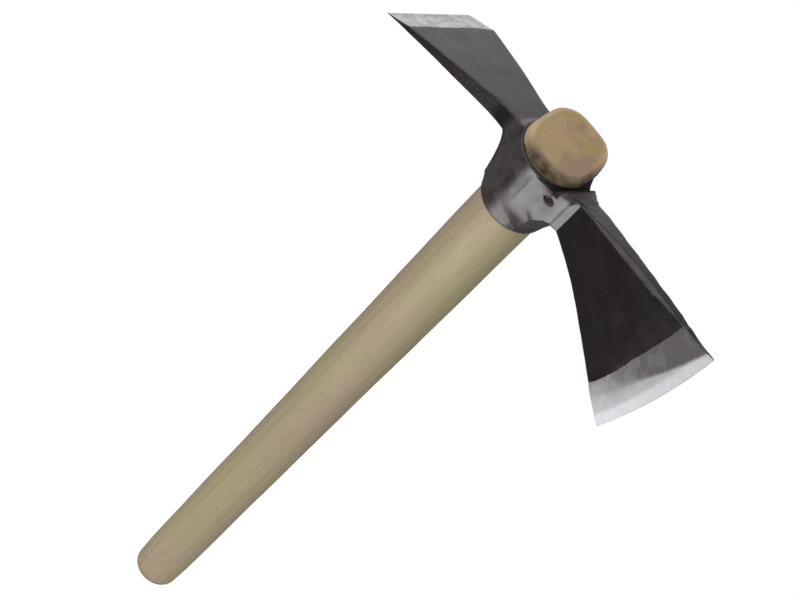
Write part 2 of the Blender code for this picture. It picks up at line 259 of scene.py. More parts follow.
# The sawn face took up oil in patches. Its flank is painted with light and shade: lighter on the side away
# from the neck, and nearly black toward the neck, where shade falls between the wood and the neck.
# The butt's broken edge is darker towards the bottom.
sideways = vector(tree, "DOT_PRODUCT", place, (9.0, 6.0, 0), gives="Value")
patches = plus(tree, noise(tree, place, (70, 70, 50), detail=1.5), sideways)
oiled = blend(tree, span(tree, patches, 0.36, 0.60), (0.290, 0.222, 0.082, 1), (0.245, 0.160, 0.108, 1))
dry = span(tree, noise(tree, place, (95, 95, 70), detail=2), 0.42, 0.66)
oiled = blend(tree, dry, oiled, (0.330, 0.232, 0.128, 1))
colour = blend(tree, times(tree, face, 0.90), colour, oiled)
towards_neck = vector(tree, "DOT_PRODUCT", place, (0.88, -0.47, 0), gives="Value")
# Painted light and shade on the flank: pale away from the neck, near black toward it, in patches.
painted_flank_shading = blend(tree, span(tree, towards_neck, -0.004, 0.012),
              (0.520, 0.370, 0.235, 1), (0.034, 0.020, 0.012, 1))
flank_shading_mottle = span(tree, noise(tree, place, (160, 160, 160), detail=2), 0.25, 0.70, 0.75, 1.0)
colour = blend(tree, times(tree, flank, flank_shading_mottle), colour, painted_flank_shading)
# Darker towards the bottom: the lowest 3 mm of the butt turn a darker brown in patches.
butt_patches = span(tree, noise(tree, place, (210, 210, 300)), 0.3, 0.6, 0.35, 0.8)
darker_near_butt = times(tree, span(tree, height, 0.0034, 0.0008), butt_patches)
colour = blend(tree, darker_near_butt, colour, (0.130, 0.088, 0.058, 1))
tree.links.new(colour, shader.inputs["Base Color"])
tree.links.new(span(tree, fibre, 0.3, 0.7, 0.44, 0.60), shader.inputs["Roughness"])
tree.links.new(span(tree, flank, 0, 1, 0.5, 0.12), shader.inputs["Specular IOR Level"])

# Lathe rings and sanding lines run round the shaft, and the saw left slanting furrows on the face.
lathe = noise(tree, place, (30, 30, 1050), detail=2)
slant = add(tree, "Mapping", {"Vector": place, "Rotation": (0, 0, END_TURN + 0.4)})
furrows = noise(tree, slant.outputs[0], (900, 60, 60), detail=2)
relief = plus(tree, times(tree, fibre, 0.50), times(tree, lathe, 0.22))
relief = plus(tree, relief, times(tree, times(tree, furrows, face), 1.6))
relief = calc(tree, "SUBTRACT", relief, times(tree, fleck, 0.3))
dents = add(tree, "Bump", {"Height": relief, "Distance": 0.00010, "Strength": 0.75})
tree.links.new(dents.outputs[0], shader.inputs["Normal"])


def rows_of(circle, height, square=0.0, pulled_in=0.0, share=1.0, slant=0.0, flank=0.0, face=0.0):
    """Rows of one stretch of the handle. Each row has the radius of its circle, its height, how far
    it is from that circle (0) to the end's rounded square (1), how far it is pulled in from the
    square, its share of the radius, how much of the saw cut's slant it has, and how far it counts
    as the end's flank and as the sawn face."""
    values = np.broadcast_arrays(circle, height, square, pulled_in, share, slant, flank, face)
    return np.stack(values, -1)


# Rows of the handle, from the middle of the butt to the middle of the sawn face.
quarter = np.linspace(0, np.pi / 2, ROUNDING_ROWS)
butt_arc = quarter[1:-1]
grip_height = np.linspace(BUTT_ROUNDING, COLLAR_BOTTOM - 0.0005, GRIP_ROWS)
eye_height = np.linspace(-COLLAR_HEIGHT, 0, EYE_ROWS)
# The top two rows of the eye count as flank and take its painted shade.
flank_eye_rows = np.arange(EYE_ROWS) >= EYE_ROWS - 2
seat = COLLAR_TOP + EYE_AIR
flank_foot, flank_top = seat + END_SWELL_HEIGHT, HANDLE_LENGTH - END_ROUNDING
flank_rise = np.linspace(0, 1, FLANK_ROWS)[1:]
top_radius = EYE_RADIUS_TOP - EYE_AIR
handle_rows = np.concatenate([
    rows_of((shaft_radius(0) - BUTT_ROUNDING) * np.linspace(0.06, 1, BUTT_ROWS), 0.0),
    rows_of(shaft_radius(0) - BUTT_ROUNDING * (1 - np.sin(butt_arc)),
            BUTT_ROUNDING * (1 - np.cos(butt_arc))),
    rows_of(shaft_radius(grip_height), grip_height),
    rows_of(eye_radius(eye_height) - EYE_AIR, COLLAR_TOP + eye_height, flank=flank_eye_rows),
    rows_of(top_radius, [seat, flank_foot], [0.6, 1], [0.0009, 0.0003], slant=[0, 0.05], flank=1),
    rows_of(top_radius, flank_foot + (flank_top - flank_foot) * flank_rise, 1,
            END_BULGE * (2 * flank_rise - 1) ** 2, slant=0.05 + 0.95 * flank_rise, flank=1),
    rows_of(top_radius, HANDLE_LENGTH - END_ROUNDING * (1 - np.sin(quarter)), 1,
            END_BULGE + END_ROUNDING * (1 - np.cos(quarter)), slant=1,
            flank=np.cos(quarter) ** 0.5, face=np.sin(quarter) ** 6),
    rows_of(top_radius, HANDLE_LENGTH, 1, END_BULGE + END_ROUNDING,
            np.linspace(1, 0.05, FACE_ROWS)[1:], slant=1, face=1)])

circle, rise, square, pulled_in, share, slant, flank_field, face_field = handle_rows.T[..., None]
turn = np.linspace(0, 2 * np.pi, HANDLE_COLUMNS, endpoint=False)[None, :]
along_side, across_side = np.abs(np.cos(turn - END_TURN)), np.abs(np.sin(turn - END_TURN))
rounded = (along_side ** END_ROUNDNESS + across_side ** END_ROUNDNESS) ** (-1 / END_ROUNDNESS)
uneven = np.sin(2 * turn + rise * 21) + 0.6 * np.sin(3 * turn - rise * 47 + 1)
uneven = uneven + 0.5 * np.sin(turn + rise * 90 + 2)
loose = np.clip(rise / 0.02, 0, 1) * np.clip((COLLAR_BOTTOM - rise) / 0.03, 0, 1)
nicks = np.sin(5 * turn + 0.7) + np.sin(8 * turn + 2.1) + 0.7 * np.sin(13 * turn)
radius = (1 - square) * circle + square * (END_HALF - pulled_in) * rounded
radius = (radius + uneven * loose * SHAFT_SWELL + nicks * SAW_NICKS * square) * share
x = radius * np.cos(turn) - square * END_SHIFT * math.sin(END_TURN)
y = radius * np.sin(turn) + square * END_SHIFT * math.cos(END_TURN)
lean = math.tan(END_SLOPE) * (y * math.cos(END_TURN) - x * math.sin(END_TURN))
crown = -FACE_CROWN * np.clip((radius / END_HALF) ** 2, 0, 1) * (share < 1)
points = np.stack([x, y, rise + lean * slant + crown], -1)
rows, columns = points.shape[:2]
first = np.arange(columns)
last = first + (rows - 1) * columns
poles = np.array([[0, 0, 0], points[-1].mean(axis=0)])
points = np.concatenate([points.reshape(-1, 3), poles])
fields = {"end_flank": np.append(np.repeat(flank_field, columns), [0, 0]),
          "sawn_face": np.append(np.repeat(face_field, columns), [0, 1])}
faces = [ring_quads(rows, columns), fan(first[::-1], rows * columns), fan(last, rows * columns + 1)]
handle = mesh_piece("turned_handle", points, faces, wood, 50, fields)
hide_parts("handle")
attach(handle, "root")


# Head: one forging of carbon steel. Two dies shaped the collar, the thick neck and the roots of
# both blades in one heat. It was sprayed black, then both edges were ground bare on a stone.
COLLAR_RADIUS_BOTTOM = 0.0183
COLLAR_RADIUS_TOP = 0.0203
RIM_ROUNDING = 0.0010
RIM_STEP = 0.0011
AXE_ROOT = 0.0330
AXE_REACH = 0.1344
AXE_HEEL_BACK = 0.0138
AXE_ROOT_BELOW = 0.0163
AXE_ROOT_ABOVE = 0.0077
AXE_TOP_RISE = 0.363
AXE_TOP_BOW = 0.0015
AXE_TOP_BOW_END = 0.1130
AXE_HEEL_FALL = 0.120
AXE_HEEL_CURVE = (0.0030, 0.0398, -0.0158)   # drop by the first, second and third power
AXE_EDGE_BOW = 0.0026
AXE_HALF_ROOT = 0.0052
AXE_HALF_HEEL = 0.0027       # at the grinding line
AXE_HALF_TOE = 0.0017
AXE_HALF_EDGE = 0.00025
AXE_BEVEL_HEEL = 0.0184
AXE_BEVEL_TOE = 0.0216
AXE_CORNER = 0.0009
AXE_CHAMFER = 0.0019         # widest part of the flat that was knocked off its top corners
SHOULDER = 0.0014            # the neck swells this much below its top corner
SHOULDER_SLOPE = 0.95
SHOULDER_FOOT = 0.0321
NECK_HALF = 0.0061
NECK_SWELL_START = 0.0295    # its flanks spread from here to where they touch the collar
NECK_MEETS_COLLAR = 0.0105
NECK_GROOVE = 0.00018        # shallow hollow that the dies left just behind the shoulder
NECK_WEB_START = 0.0168
NECK_WEB_END = 0.0306
NECK_FOOT = 0.0016
NECK_RAMP_START = 0.0192
NECK_RAMP_LENGTH = 0.0034
HOE_ROOT = 0.0320
HOE_REACH = 0.1118
HOE_ROOT_BELOW = 0.0094
HOE_FALL = 0.455
HOE_CROWN = 0.0009
HOE_HALF_ROOT = 0.0116
HOE_HALF_EDGE = 0.0277
HOE_SIDE_BOW = 0.0006
HOE_OFF = 0.0004             # its root lies this far to +Y
HOE_SIDE_LIMIT = 0.02575     # the +Y side runs no further out than this
HOE_DEPTH_ROOT = 0.0110
HOE_TAPER_LENGTH = 0.0998
HOE_WEB = 0.0240
HOE_WEB_START = 0.0165
HOE_WEB_LENGTH = 0.0100
HOE_DEPTH_LEAST = 0.0021
HOE_BEVEL = 0.0142
HOE_CORNER = 0.0080
HOE_EDGE_DEPTH = 0.0005
HOE_ROUNDING = 0.0006
NAIL_TURN = math.radians(-28)
NAIL_BELOW = 0.0063
NAIL_HOLE = 0.0022
AXE_SEAM = 0.0420            # the forged middle and the drawn-out blades join along these planes
HOE_SEAM = 0.0440
CELL = 0.00058               # of the grid on which the skin of the middle is found
AXE_TOP_SLANT = math.hypot(1, AXE_TOP_RISE)
AXE_LOW_SLANT = math.hypot(1, AXE_HEEL_FALL)
HOE_SLANT = math.hypot(1, HOE_FALL)
FACET_STEEPNESS = (0.75, 1.05, 1.40)
BLADE_ROWS, BEVEL_ROWS = 90, 46
AXE_COLUMNS = (5, 10, 40)    # on half the foot's flat, in the arc of a corner and up the side
HOE_COLUMNS = (34, 7, 5)
HOE_POLISH = 0.80            # how bright its bevel came off the stone
UNGROUND = -0.02             # distance past the grinding line of all that was left black
SHARP_BEND = 1200.0          # a bend of the skin, per metre, that counts as a sharp edge


def between(value, start, end):
    """0 at start and 1 at end, held outside."""
    return np.clip((value - start) / (end - start), 0, 1)


def eased(part):
    return part * part * (3 - 2 * part)


def soft_min(first, second, reach):
    """The lesser of two depths, with the hollow between them filled where they are within reach."""
    near = np.clip(1 - np.abs(first - second) / reach, 0, None)
    return np.minimum(first, second) - near ** 2 * reach / 4


def soft_max(first, second, reach):
    return -soft_min(-first, -second, reach)


def round_corner(first, second, radius):
    """Where two flats both hold, with their common edge rounded to a radius."""
    out = np.hypot(np.maximum(first + radius, 0), np.maximum(second + radius, 0))
    return out + np.minimum(np.maximum(first, second) + radius, 0) - radius


def hammered(reach, height):
    """Slow dents of the dies: three crossed waves, each 23 to 29 mm long and 0.035 mm deep."""
    waves = np.sin(reach * 203 + height * 71) + np.sin(height * 262 - reach * 88 + 1.3)
    return 0.000035 * (waves + np.sin(reach * 141 - height * 190 + 4.1))


def axe_upper(reach):
    """Top of the axe: a straight climb, bowed up by a parabola and dipped once just before the toe."""
    part = between(reach, AXE_ROOT, AXE_TOP_BOW_END)
    dip = np.sin(np.pi * between(reach, AXE_TOP_BOW_END, AXE_REACH)) ** 2
    bow = AXE_TOP_BOW * (4 * part * (1 - part) - 0.4 * dip)
    return AXE_ROOT_ABOVE + AXE_TOP_RISE * (reach - AXE_ROOT) + bow


def axe_lower(reach):
    """Underside of the axe: a cubic that steepens toward the heel, carried straight into the neck."""
    out = reach - AXE_ROOT
    part = np.maximum(out, 0) / (AXE_REACH - AXE_HEEL_BACK - AXE_ROOT)
    first, second, third = AXE_HEEL_CURVE
    drop = first * part + second * part ** 2 + third * part ** 3
    return -AXE_ROOT_BELOW - AXE_HEEL_FALL * np.minimum(out, 0) - drop


def axe_edge(share):
    """Reach of the cutting edge, share 0 at the heel and 1 at the toe: a line with a shallow bow."""
    return AXE_REACH - AXE_HEEL_BACK * (1 - share) + AXE_EDGE_BOW * 4 * share * (1 - share)


def axe_grinding_line(share):
    """Where the ground bevel starts, with the stone's small wander."""
    wander = 0.00016 * np.sin(share * 9 + 0.5) + 0.00010 * np.sin(share * 23)
    width = AXE_BEVEL_HEEL + (AXE_BEVEL_TOE - AXE_BEVEL_HEEL) * eased(between(share, 0.0, 0.7))
    return axe_edge(share) - width + wander


def facets(share):
    """Parts of the bevel's width at which the first, flatter facet and the second one end. The
    first takes a third at the heel and four fifths at the toe, where the second runs out."""
    first = 0.32 + 0.16 * between(share, 0, 0.47) + 0.32 * between(share, 0.47, 1.0)
    return first, np.maximum(0.74, first + 0.02)


def cheek_half(reach, share):
    """Half thickness of the axe. It thins by a 2.7 power to the grinding line, and the bevel beyond
    it has three facets, each steeper than the one before."""
    line = axe_grinding_line(share)
    least = AXE_HALF_HEEL + (AXE_HALF_TOE - AXE_HALF_HEEL) * share
    cheek = AXE_HALF_ROOT - (AXE_HALF_ROOT - least) * between(reach, AXE_ROOT, line) ** 2.7
    ground = between(reach, line, axe_edge(share))
    first, second = facets(share)
    shallow, middling, steep = FACET_STEEPNESS
    fall = shallow * np.minimum(ground, first) + middling * np.clip(ground - first, 0, second - first)
    fall = fall + steep * np.clip(ground - second, 0, 1)
    whole = shallow * first + middling * (second - first) + steep * (1 - second)
    return cheek - (least - AXE_HALF_EDGE) * fall / whole


def neck_lower(reach):
    """Underside of the neck: a curve that climbs from the collar's foot to the axe's underside."""
    under = between(reach, NECK_WEB_START, NECK_WEB_END)
    foot = NECK_FOOT - COLLAR_HEIGHT
    return axe_lower(reach) + (foot - axe_lower(reach)) * (1 - under) ** 2.2


def neck_upper(reach):
    ramp = eased(between(reach, NECK_RAMP_START, NECK_RAMP_START + NECK_RAMP_LENGTH))
    return -RIM_STEP + (axe_upper(reach) + RIM_STEP) * ramp


def hoe_top(reach):
    """Top of the hoe: a straight fall with a shallow crown."""
    out, length = reach - HOE_ROOT, HOE_REACH - HOE_ROOT
    return -HOE_ROOT_BELOW - HOE_FALL * out + HOE_CROWN * 4 * out * (length - out) / length ** 2


def hoe_half(reach):
    """Half width of the hoe: a straight flare whose sides bow out a little."""
    part = soft_max(reach - HOE_ROOT, 0, 0.008) / (HOE_REACH - HOE_ROOT)
    flare = HOE_HALF_ROOT + (HOE_HALF_EDGE - HOE_HALF_ROOT) * part
    return flare + HOE_SIDE_BOW * 4 * np.clip(part, 0, 1) * np.clip(1 - part, 0, 1)


def hoe_middle(reach):
    return HOE_OFF * between(reach, HOE_REACH, HOE_ROOT)


def hoe_depth(reach):
    """Thickness of the hoe, thinning evenly, with the web that runs down the collar."""
    body = HOE_DEPTH_ROOT * np.clip(1 - (reach - HOE_ROOT) / HOE_TAPER_LENGTH, 0, None)
    near = between(reach, HOE_WEB_START + HOE_WEB_LENGTH, HOE_WEB_START)
    return np.maximum(body, HOE_DEPTH_LEAST) + HOE_WEB * near ** 1.7


def forging(points):
    """Depth below the skin of the forged middle, less than 0 in the metal; heights from the rim."""
    x, y, h = points.T
    wide, out = np.abs(y), np.hypot(x, y)
    radius = COLLAR_RADIUS_TOP + h * (COLLAR_RADIUS_TOP - COLLAR_RADIUS_BOTTOM) / COLLAR_HEIGHT
    collar = out - radius

    top, bottom = neck_upper(x), neck_lower(x)
    share = between(h, bottom, np.maximum(top, bottom + CELL))
    high = eased(between(h, -0.0410, -0.0190))
    inward = between(x, NECK_SWELL_START, NECK_MEETS_COLLAR)
    spread = np.sqrt(radius ** 2 - NECK_MEETS_COLLAR ** 2) - NECK_HALF - SHOULDER
    swell = spread * high * (0.85 * inward + 0.15 * inward ** 2)
    groove = NECK_GROOVE * np.exp(-((x - NECK_SWELL_START + 0.0014) / 0.0011) ** 2)
    flank = wide - NECK_HALF - SHOULDER * (1 - share ** 14) - swell + groove
    shoulder = (wide - AXE_HALF_ROOT + SHOULDER_SLOPE * (x - SHOULDER_FOOT)) / math.hypot(1, SHOULDER_SLOPE)
    tall = np.maximum((h - top) / AXE_TOP_SLANT, bottom - h)
    neck = round_corner(soft_max(flank * 0.95, shoulder, 0.0004), tall, AXE_CORNER)
    metal = soft_min(collar, np.maximum(neck, 0.008 - x), 0.0018 + 0.0200 * high * (1 - high))

    cheek = wide - cheek_half(x, share) - hammered(x, h)
    tall = np.maximum((h - axe_upper(x)) / AXE_TOP_SLANT, (axe_lower(x) - h) / AXE_LOW_SLANT)
    blade = np.maximum(round_corner(cheek, tall, AXE_CORNER), AXE_ROOT - 0.006 - x)
    metal = soft_min(metal, blade, 0.0003)

    reach = -x
    middle = hoe_top(reach) - hoe_depth(reach) / 2
    thick = (np.abs(h - middle - hammered(reach, y)) - hoe_depth(reach) / 2) / HOE_SLANT
    aside = np.abs(y - hoe_middle(reach)) - hoe_half(reach)
    hoe = np.maximum(round_corner(aside, thick, HOE_ROUNDING), 0.008 - reach)
    metal = soft_min(metal, hoe, 0.0050 * between(reach, 0.040, 0.030) + 0.0002)

    rim = 0.012 * eased(between(x, NECK_RAMP_START, NECK_RAMP_START + NECK_RAMP_LENGTH))
    metal = soft_max(metal, h - rim, RIM_ROUNDING)
    metal = soft_max(metal, -COLLAR_HEIGHT - h, RIM_ROUNDING)
    metal = soft_max(metal, eye_radius(h) - out, 0.0006)
    along = x * math.cos(NAIL_TURN) + y * math.sin(NAIL_TURN)
    aside = np.hypot(y * math.cos(NAIL_TURN) - x * math.sin(NAIL_TURN), h + NAIL_BELOW)
    return soft_max(metal, np.where(along > 0, NAIL_HOLE - aside, -1), 0.0006)


def wrap(depth, low, high, cell):
    """Skin of a solid whose depth is known everywhere, by surface nets.

    One point lies in every cell that the skin crosses and one quad round every cell edge that it
    cuts. The points are drawn to their neighbours' middle and back to depth 0 by turns.
    """
    axes = [np.arange(start, end, cell) for start, end in zip(low, high)]
    corners = np.stack(np.meshgrid(*axes, indexing="ij"), -1)
    inside = (depth(corners.reshape(-1, 3)) < 0).reshape(corners.shape[:3])
    quads = []
    for axis in range(3):
        change = np.diff(inside.astype(np.int8), axis=axis)
        cut = np.argwhere(change)
        leaving = change[tuple(cut.T)] < 0
        one, two = (axis + 1) % 3, (axis + 2) % 3
        keep = (cut[:, one] > 0) & (cut[:, two] > 0)
        cut, leaving = cut[keep], leaving[keep]
        ring = []
        for step_one, step_two in ((0, 0), (-1, 0), (-1, -1), (0, -1)):
            at = cut.copy()
            at[:, one] += step_one
            at[:, two] += step_two
            ring.append(np.ravel_multi_index(at.T, inside.shape))
        quad = np.stack(ring, 1)
        quads.append(np.where(leaving[:, None], quad, quad[:, ::-1]))
    used, quads = np.unique(np.concatenate(quads), return_inverse=True)
    quads = quads.reshape(-1, 4)
    points = np.array(low) + (np.stack(np.unravel_index(used, inside.shape), 1) + 0.5) * cell
    starts, ends = quads.ravel(), np.roll(quads, -1, axis=1).ravel()
    count = np.bincount(starts, minlength=len(points)) + np.bincount(ends, minlength=len(points))
    step = cell * 0.02 * np.eye(3)
    for turn in range(7):
        if turn:
            sums = [np.bincount(starts, points[ends, k], len(points))
                    + np.bincount(ends, points[starts, k], len(points)) for k in range(3)]
            points = points + 0.6 * (np.stack(sums, 1) / count[:, None] - points)
        for _ in range(3):
            slope = np.stack([depth(points + d) - depth(points - d) for d in step], 1) / (cell * 0.04)
            move = depth(points)[:, None] * slope / np.maximum((slope ** 2).sum(1), 0.1)[:, None]
            points = points - np.clip(move, -cell, cell)
    return points, quads


def section_columns(flats, arcs, sides):
    """Columns round half a section, from the middle of its bottom over one side to the middle of its
    top. Each has its share of the half width, cosine and sine in a corner's arc, whether it lies
    on the inner and on the outer side of a knocked-off corner, and its share of the height. The
    second value says which columns belong to the top."""
    flat = 1 - (1 - np.linspace(0, 1, flats, endpoint=False)) ** 1.4
    arc = np.linspace(-np.pi / 2, 0, arcs)
    side = np.linspace(0, 1, sides + 2)[1:-1]
    low = np.concatenate([
        np.stack([flat, 0 * flat, -1 + 0 * flat, 1 + 0 * flat, 0 * flat, 0 * flat]),
        np.stack([1 + 0 * arc, np.cos(arc), np.sin(arc), arc < -np.pi / 4, arc >= -np.pi / 4, 0 * arc]),
        np.stack([1 + 0 * side, 1 + 0 * side, 0 * side, 0 * side, 1 + 0 * side, side])], axis=1)
    high = low[:, :flats + arcs][:, ::-1].copy()
    high[2] *= -1
    high[5] = 1
    columns = np.concatenate([low, high], axis=1)
    is_top = np.arange(columns.shape[1]) >= low.shape[1]
    return columns[:, None, :], is_top[None, :]


def loop_quads(rows, columns):
    """Quads of a blade whose rows run round the section, and a ladder of quads across its edge.
    Each row runs from the section's foot over the +Y side to its top and down the other side."""
    tip = (rows - 1) * columns
    top = tip + columns // 2
    one = np.arange(tip + 1, top)
    other = np.arange(tip + columns - 1, top, -1)
    ladder = np.stack([one[:-1], one[1:], other[1:], other[:-1]], 1)
    ends = np.array([[tip, one[0], other[0]], [one[-1], top, other[-1]]])
    return ring_quads(rows, columns), ladder, ends


def mirrored(right_half, left_half):
    """Full loops from the +Y columns and, backwards and without the two shared ones, the -Y ones."""
    return np.concatenate([right_half, left_half[:, 1:-1][:, ::-1]], axis=1)


# Rows of both blades: 0 to 1 from the seam to the grinding line, and 1 to 2 from there to the edge.
along = np.concatenate([np.linspace(0, 1, BLADE_ROWS), 1 + np.linspace(0, 1, BEVEL_ROWS + 1)[1:]])
along = along[:, None]
ground = np.maximum(along - 1, 0)


def drawn_out(seam, line, edge):
    """Reach of each row of a blade, from its seam to the grinding line and on to the edge."""
    return seam + (line - seam) * np.minimum(along, 1) + (edge - line) * ground


def axe_reach(share):
    return drawn_out(AXE_SEAM, axe_grinding_line(share), axe_edge(share))


(part, cosine, sine, inner, outer, tall_share), is_top = section_columns(*AXE_COLUMNS)
column_share = np.where(is_top, 1.0, tall_share)
reach = axe_reach(column_share)
low, high = axe_lower(axe_reach(0)), axe_upper(axe_reach(1))
half = cheek_half(reach, column_share)
corner = np.minimum(AXE_CORNER, half * 0.45) * (1 - 0.85 * between(along, 1, 1.08))
knocked = AXE_CHAMFER * np.sin(np.pi * between(along, 0.0, 0.90)) ** 0.8 * (1 + 0.15 * np.sin(along * 31))
knocked = np.where(is_top, knocked, 0.25 * knocked)
wide = part * (half - corner - knocked * inner) + corner * cosine
foot = low + (corner * (1 + sine) + knocked * outer) * AXE_LOW_SLANT
crest = high - (corner * (1 - sine) + knocked * outer) * AXE_TOP_SLANT
side_foot, side_top = low + corner * AXE_LOW_SLANT, high - corner * AXE_TOP_SLANT
side = side_foot + (side_top - side_foot) * tall_share
height = np.where(is_top, crest, np.where(tall_share > 0, side, foot))
wide = wide + hammered(reach, height) * between(along, 1, 0.97) * (part >= 1)
points_half = np.stack([reach + 0 * wide, wide, height], -1)
axe_points = mirrored(points_half, points_half * np.array([1, -1, 1]))
past = np.where((part >= 1) & (cosine > 0.9), reach - axe_grinding_line(column_share), UNGROUND)
axe_past = mirrored(past, past)

# Brightness of the bevel, partly the stone's finish and partly painted highlight for the light its facets
# catch: dull on the first facet, most of all at the toe, and clean and brightest at the edge. One runs
# softly into the other at the heel and along a crisp line at the toe.
first, second = facets(column_share)
dull = 0.62 * (1 - column_share) ** 2.2
blur = 0.44 - 0.39 * eased(between(column_share, 0.05, 0.55))
polish_and_highlight = dull + (0.95 - dull) * (0.75 * eased(between(ground, first - blur, first + blur))
                                 + 0.25 * eased(between(ground, second - 0.10, second + 0.10)))
axe_polish_and_highlight = mirrored(polish_and_highlight, polish_and_highlight)

# The hoe is drawn out the same way; its bevel is ground on the top side and its +Y corner is cut.
(part, cosine, sine, _, _, tall_share), is_top = section_columns(*HOE_COLUMNS)


def hoe_edge(across):
    """Reach of the cutting edge, across 0 at the -Y corner and 1 at the cut +Y corner."""
    return HOE_REACH - HOE_CORNER * np.clip((across - 0.91) / 0.09, 0, 1) ** 1.3


def hoe_grinding_line(across):
    wander = 0.00018 * np.sin(across * 11) + 0.00012 * np.sin(across * 29 + 1)
    return HOE_REACH - HOE_BEVEL - 0.0013 * np.clip((across - 0.7) / 0.3, 0, 1) ** 2 + wander


def hoe_side(sign):
    """Points and distance past the grinding line for the columns on one side of the hoe."""
    across = (1 + sign * part) / 2
    line = hoe_grinding_line(across)
    reach = drawn_out(HOE_SEAM, line, hoe_edge(across))
    depth = hoe_depth(reach)
    top = hoe_top(reach) - ground * (depth - HOE_EDGE_DEPTH) - 0.0004 * between(ground, 0.965, 1)
    bottom = hoe_top(reach) - depth
    corner = np.minimum(HOE_ROUNDING, (top - bottom) * 0.3)
    half = hoe_half(reach) + sign * hoe_middle(reach)
    if sign > 0:
        half = soft_min(half, HOE_SIDE_LIMIT, 0.0008)
    wide = part * (half - corner) + corner * cosine
    foot = bottom + corner * (1 + sine) * HOE_SLANT
    crest = top - corner * (1 - sine) * HOE_SLANT
    side = bottom + corner * HOE_SLANT + (top - bottom - 2 * corner * HOE_SLANT) * tall_share
    height = np.where(is_top, crest, np.where(tall_share > 0, side, foot))
    height = height + hammered(reach, sign * wide) * (ground == 0)
    past = np.where(is_top & (sine > 0.9), reach - line, UNGROUND)
    return np.stack([-reach + 0 * wide, sign * wide, height], -1), past


right_points, right_past = hoe_side(1)
left_points, left_past = hoe_side(-1)
hoe_points = mirrored(right_points, left_points)
hoe_past = mirrored(right_past, left_past)

grid_low = (-HOE_SEAM - 3 * CELL, -0.0225, -0.0440)
grid_high = (AXE_SEAM + 3 * CELL, 0.0225, 0.0125)
core_points, core_quads = wrap(forging, grid_low, grid_high, CELL)
within = (core_points[:, 0] < AXE_SEAM - 0.3 * CELL) & (core_points[:, 0] > -HOE_SEAM + 0.3 * CELL)
core_quads = core_quads[within[core_quads].all(axis=1)]
number = np.cumsum(within) - 1
core_points, core_quads = core_points[within], number[core_quads]

lift = np.array([0, 0, COLLAR_TOP])
points = np.concatenate([core_points, axe_points.reshape(-1, 3), hoe_points.reshape(-1, 3)]) + lift
past = np.concatenate([np.full(len(core_points), UNGROUND), axe_past.ravel(), hoe_past.ravel()])
polish_and_highlight = np.concatenate([
    np.zeros(len(core_points)), axe_polish_and_highlight.ravel(), np.full(hoe_past.size, HOE_POLISH)])
axe_start = len(core_points)
hoe_start = axe_start + axe_past.size
axe_faces = [quads + axe_start for quads in loop_quads(*axe_past.shape)]
hoe_faces = [quads + hoe_start for quads in loop_quads(*hoe_past.shape)]

lacquer, tree, shader = blank_material("lacquered forging")
head = mesh_piece("forged_head", points, [core_quads] + axe_faces + hoe_faces, lacquer, 30,
                  {"past_grinding": past, "polish_and_highlight": polish_and_highlight})
welded = bmesh.new()
welded.from_mesh(head.data)
bmesh.ops.delete(welded, geom=[v for v in welded.verts if not v.link_faces], context="VERTS")
for sign in (1, -1):
    rims = [edge for edge in welded.edges if edge.is_boundary and edge.verts[0].co.x * sign > 0]
    bmesh.ops.bridge_loops(welded, edges=rims)
bmesh.ops.recalc_face_normals(welded, faces=welded.faces[:])
welded.to_mesh(head.data)
welded.free()
head.data.shade_smooth()
head.data.set_sharp_from_angle(angle=math.radians(30))

# How sharp the skin turns outwards at each point, from the bend of each edge against the normals.
count = len(head.data.vertices)
spots, normals = np.empty(count * 3), np.empty(count * 3)
head.data.vertices.foreach_get("co", spots)
head.data.vertices.foreach_get("normal", normals)
spots, normals = spots.reshape(-1, 3), normals.reshape(-1, 3)
ends = np.empty(len(head.data.edges) * 2, dtype=np.int32)
head.data.edges.foreach_get("vertices", ends)
start, end = ends.reshape(-1, 2).T
run = spots[end] - spots[start]
length = np.maximum((run ** 2).sum(1), 1e-10)
bend = np.bincount(start, -2 * (run * normals[start]).sum(1) / length, count)
bend += np.bincount(end, 2 * (run * normals[end]).sum(1) / length, count)
bend /= np.bincount(start, minlength=count) + np.bincount(end, minlength=count)
edge_field = np.clip(bend / SHARP_BEND, -1, 1).astype(np.float32)
head.data.attributes.new("edge_bend", "FLOAT", "POINT").data.foreach_set("value", edge_field)

place = add(tree, "TexCoord").outputs["Object"]
past = add(tree, "Attribute", attribute_name="past_grinding").outputs["Fac"]
bend = add(tree, "Attribute", attribute_name="edge_bend").outputs["Fac"]

# Lacquer: thick and glossy, a little brown where it ran thin, with orange peel, dust and rubs.
slow = noise(tree, place, (26, 26, 26), detail=2)
coat = blend(tree, span(tree, slow, 0.36, 0.64), (0.0100, 0.0082, 0.0084, 1), (0.0140, 0.0066, 0.0088, 1))
flow = noise(tree, place, (95, 95, 95), detail=3)

# Round the collar the coat is painted lighter, grey and brown: partly scuffs and dust, partly painted sheen
# and a painted reflection of the wooden handle. The corner that the neck's top makes with the end of the
# handle is painted black, a painted shade.
apart = add(tree, "SeparateXYZ", {0: place})
from_axis = vector(tree, "LENGTH", vector(tree, "MULTIPLY", place, (1, 1, 0)), gives="Value")
smudge = noise(tree, place, (150, 150, 110), detail=3)
# Scuffs and painted sheen: lighter grey-brown lacquer close round the collar.
scuffs_and_sheen = times(tree, span(tree, from_axis, 0.031, 0.024), span(tree, smudge, 0.30, 0.66, 0.35, 1.0))
coat = blend(tree, scuffs_and_sheen, coat, (0.052, 0.039, 0.040, 1))
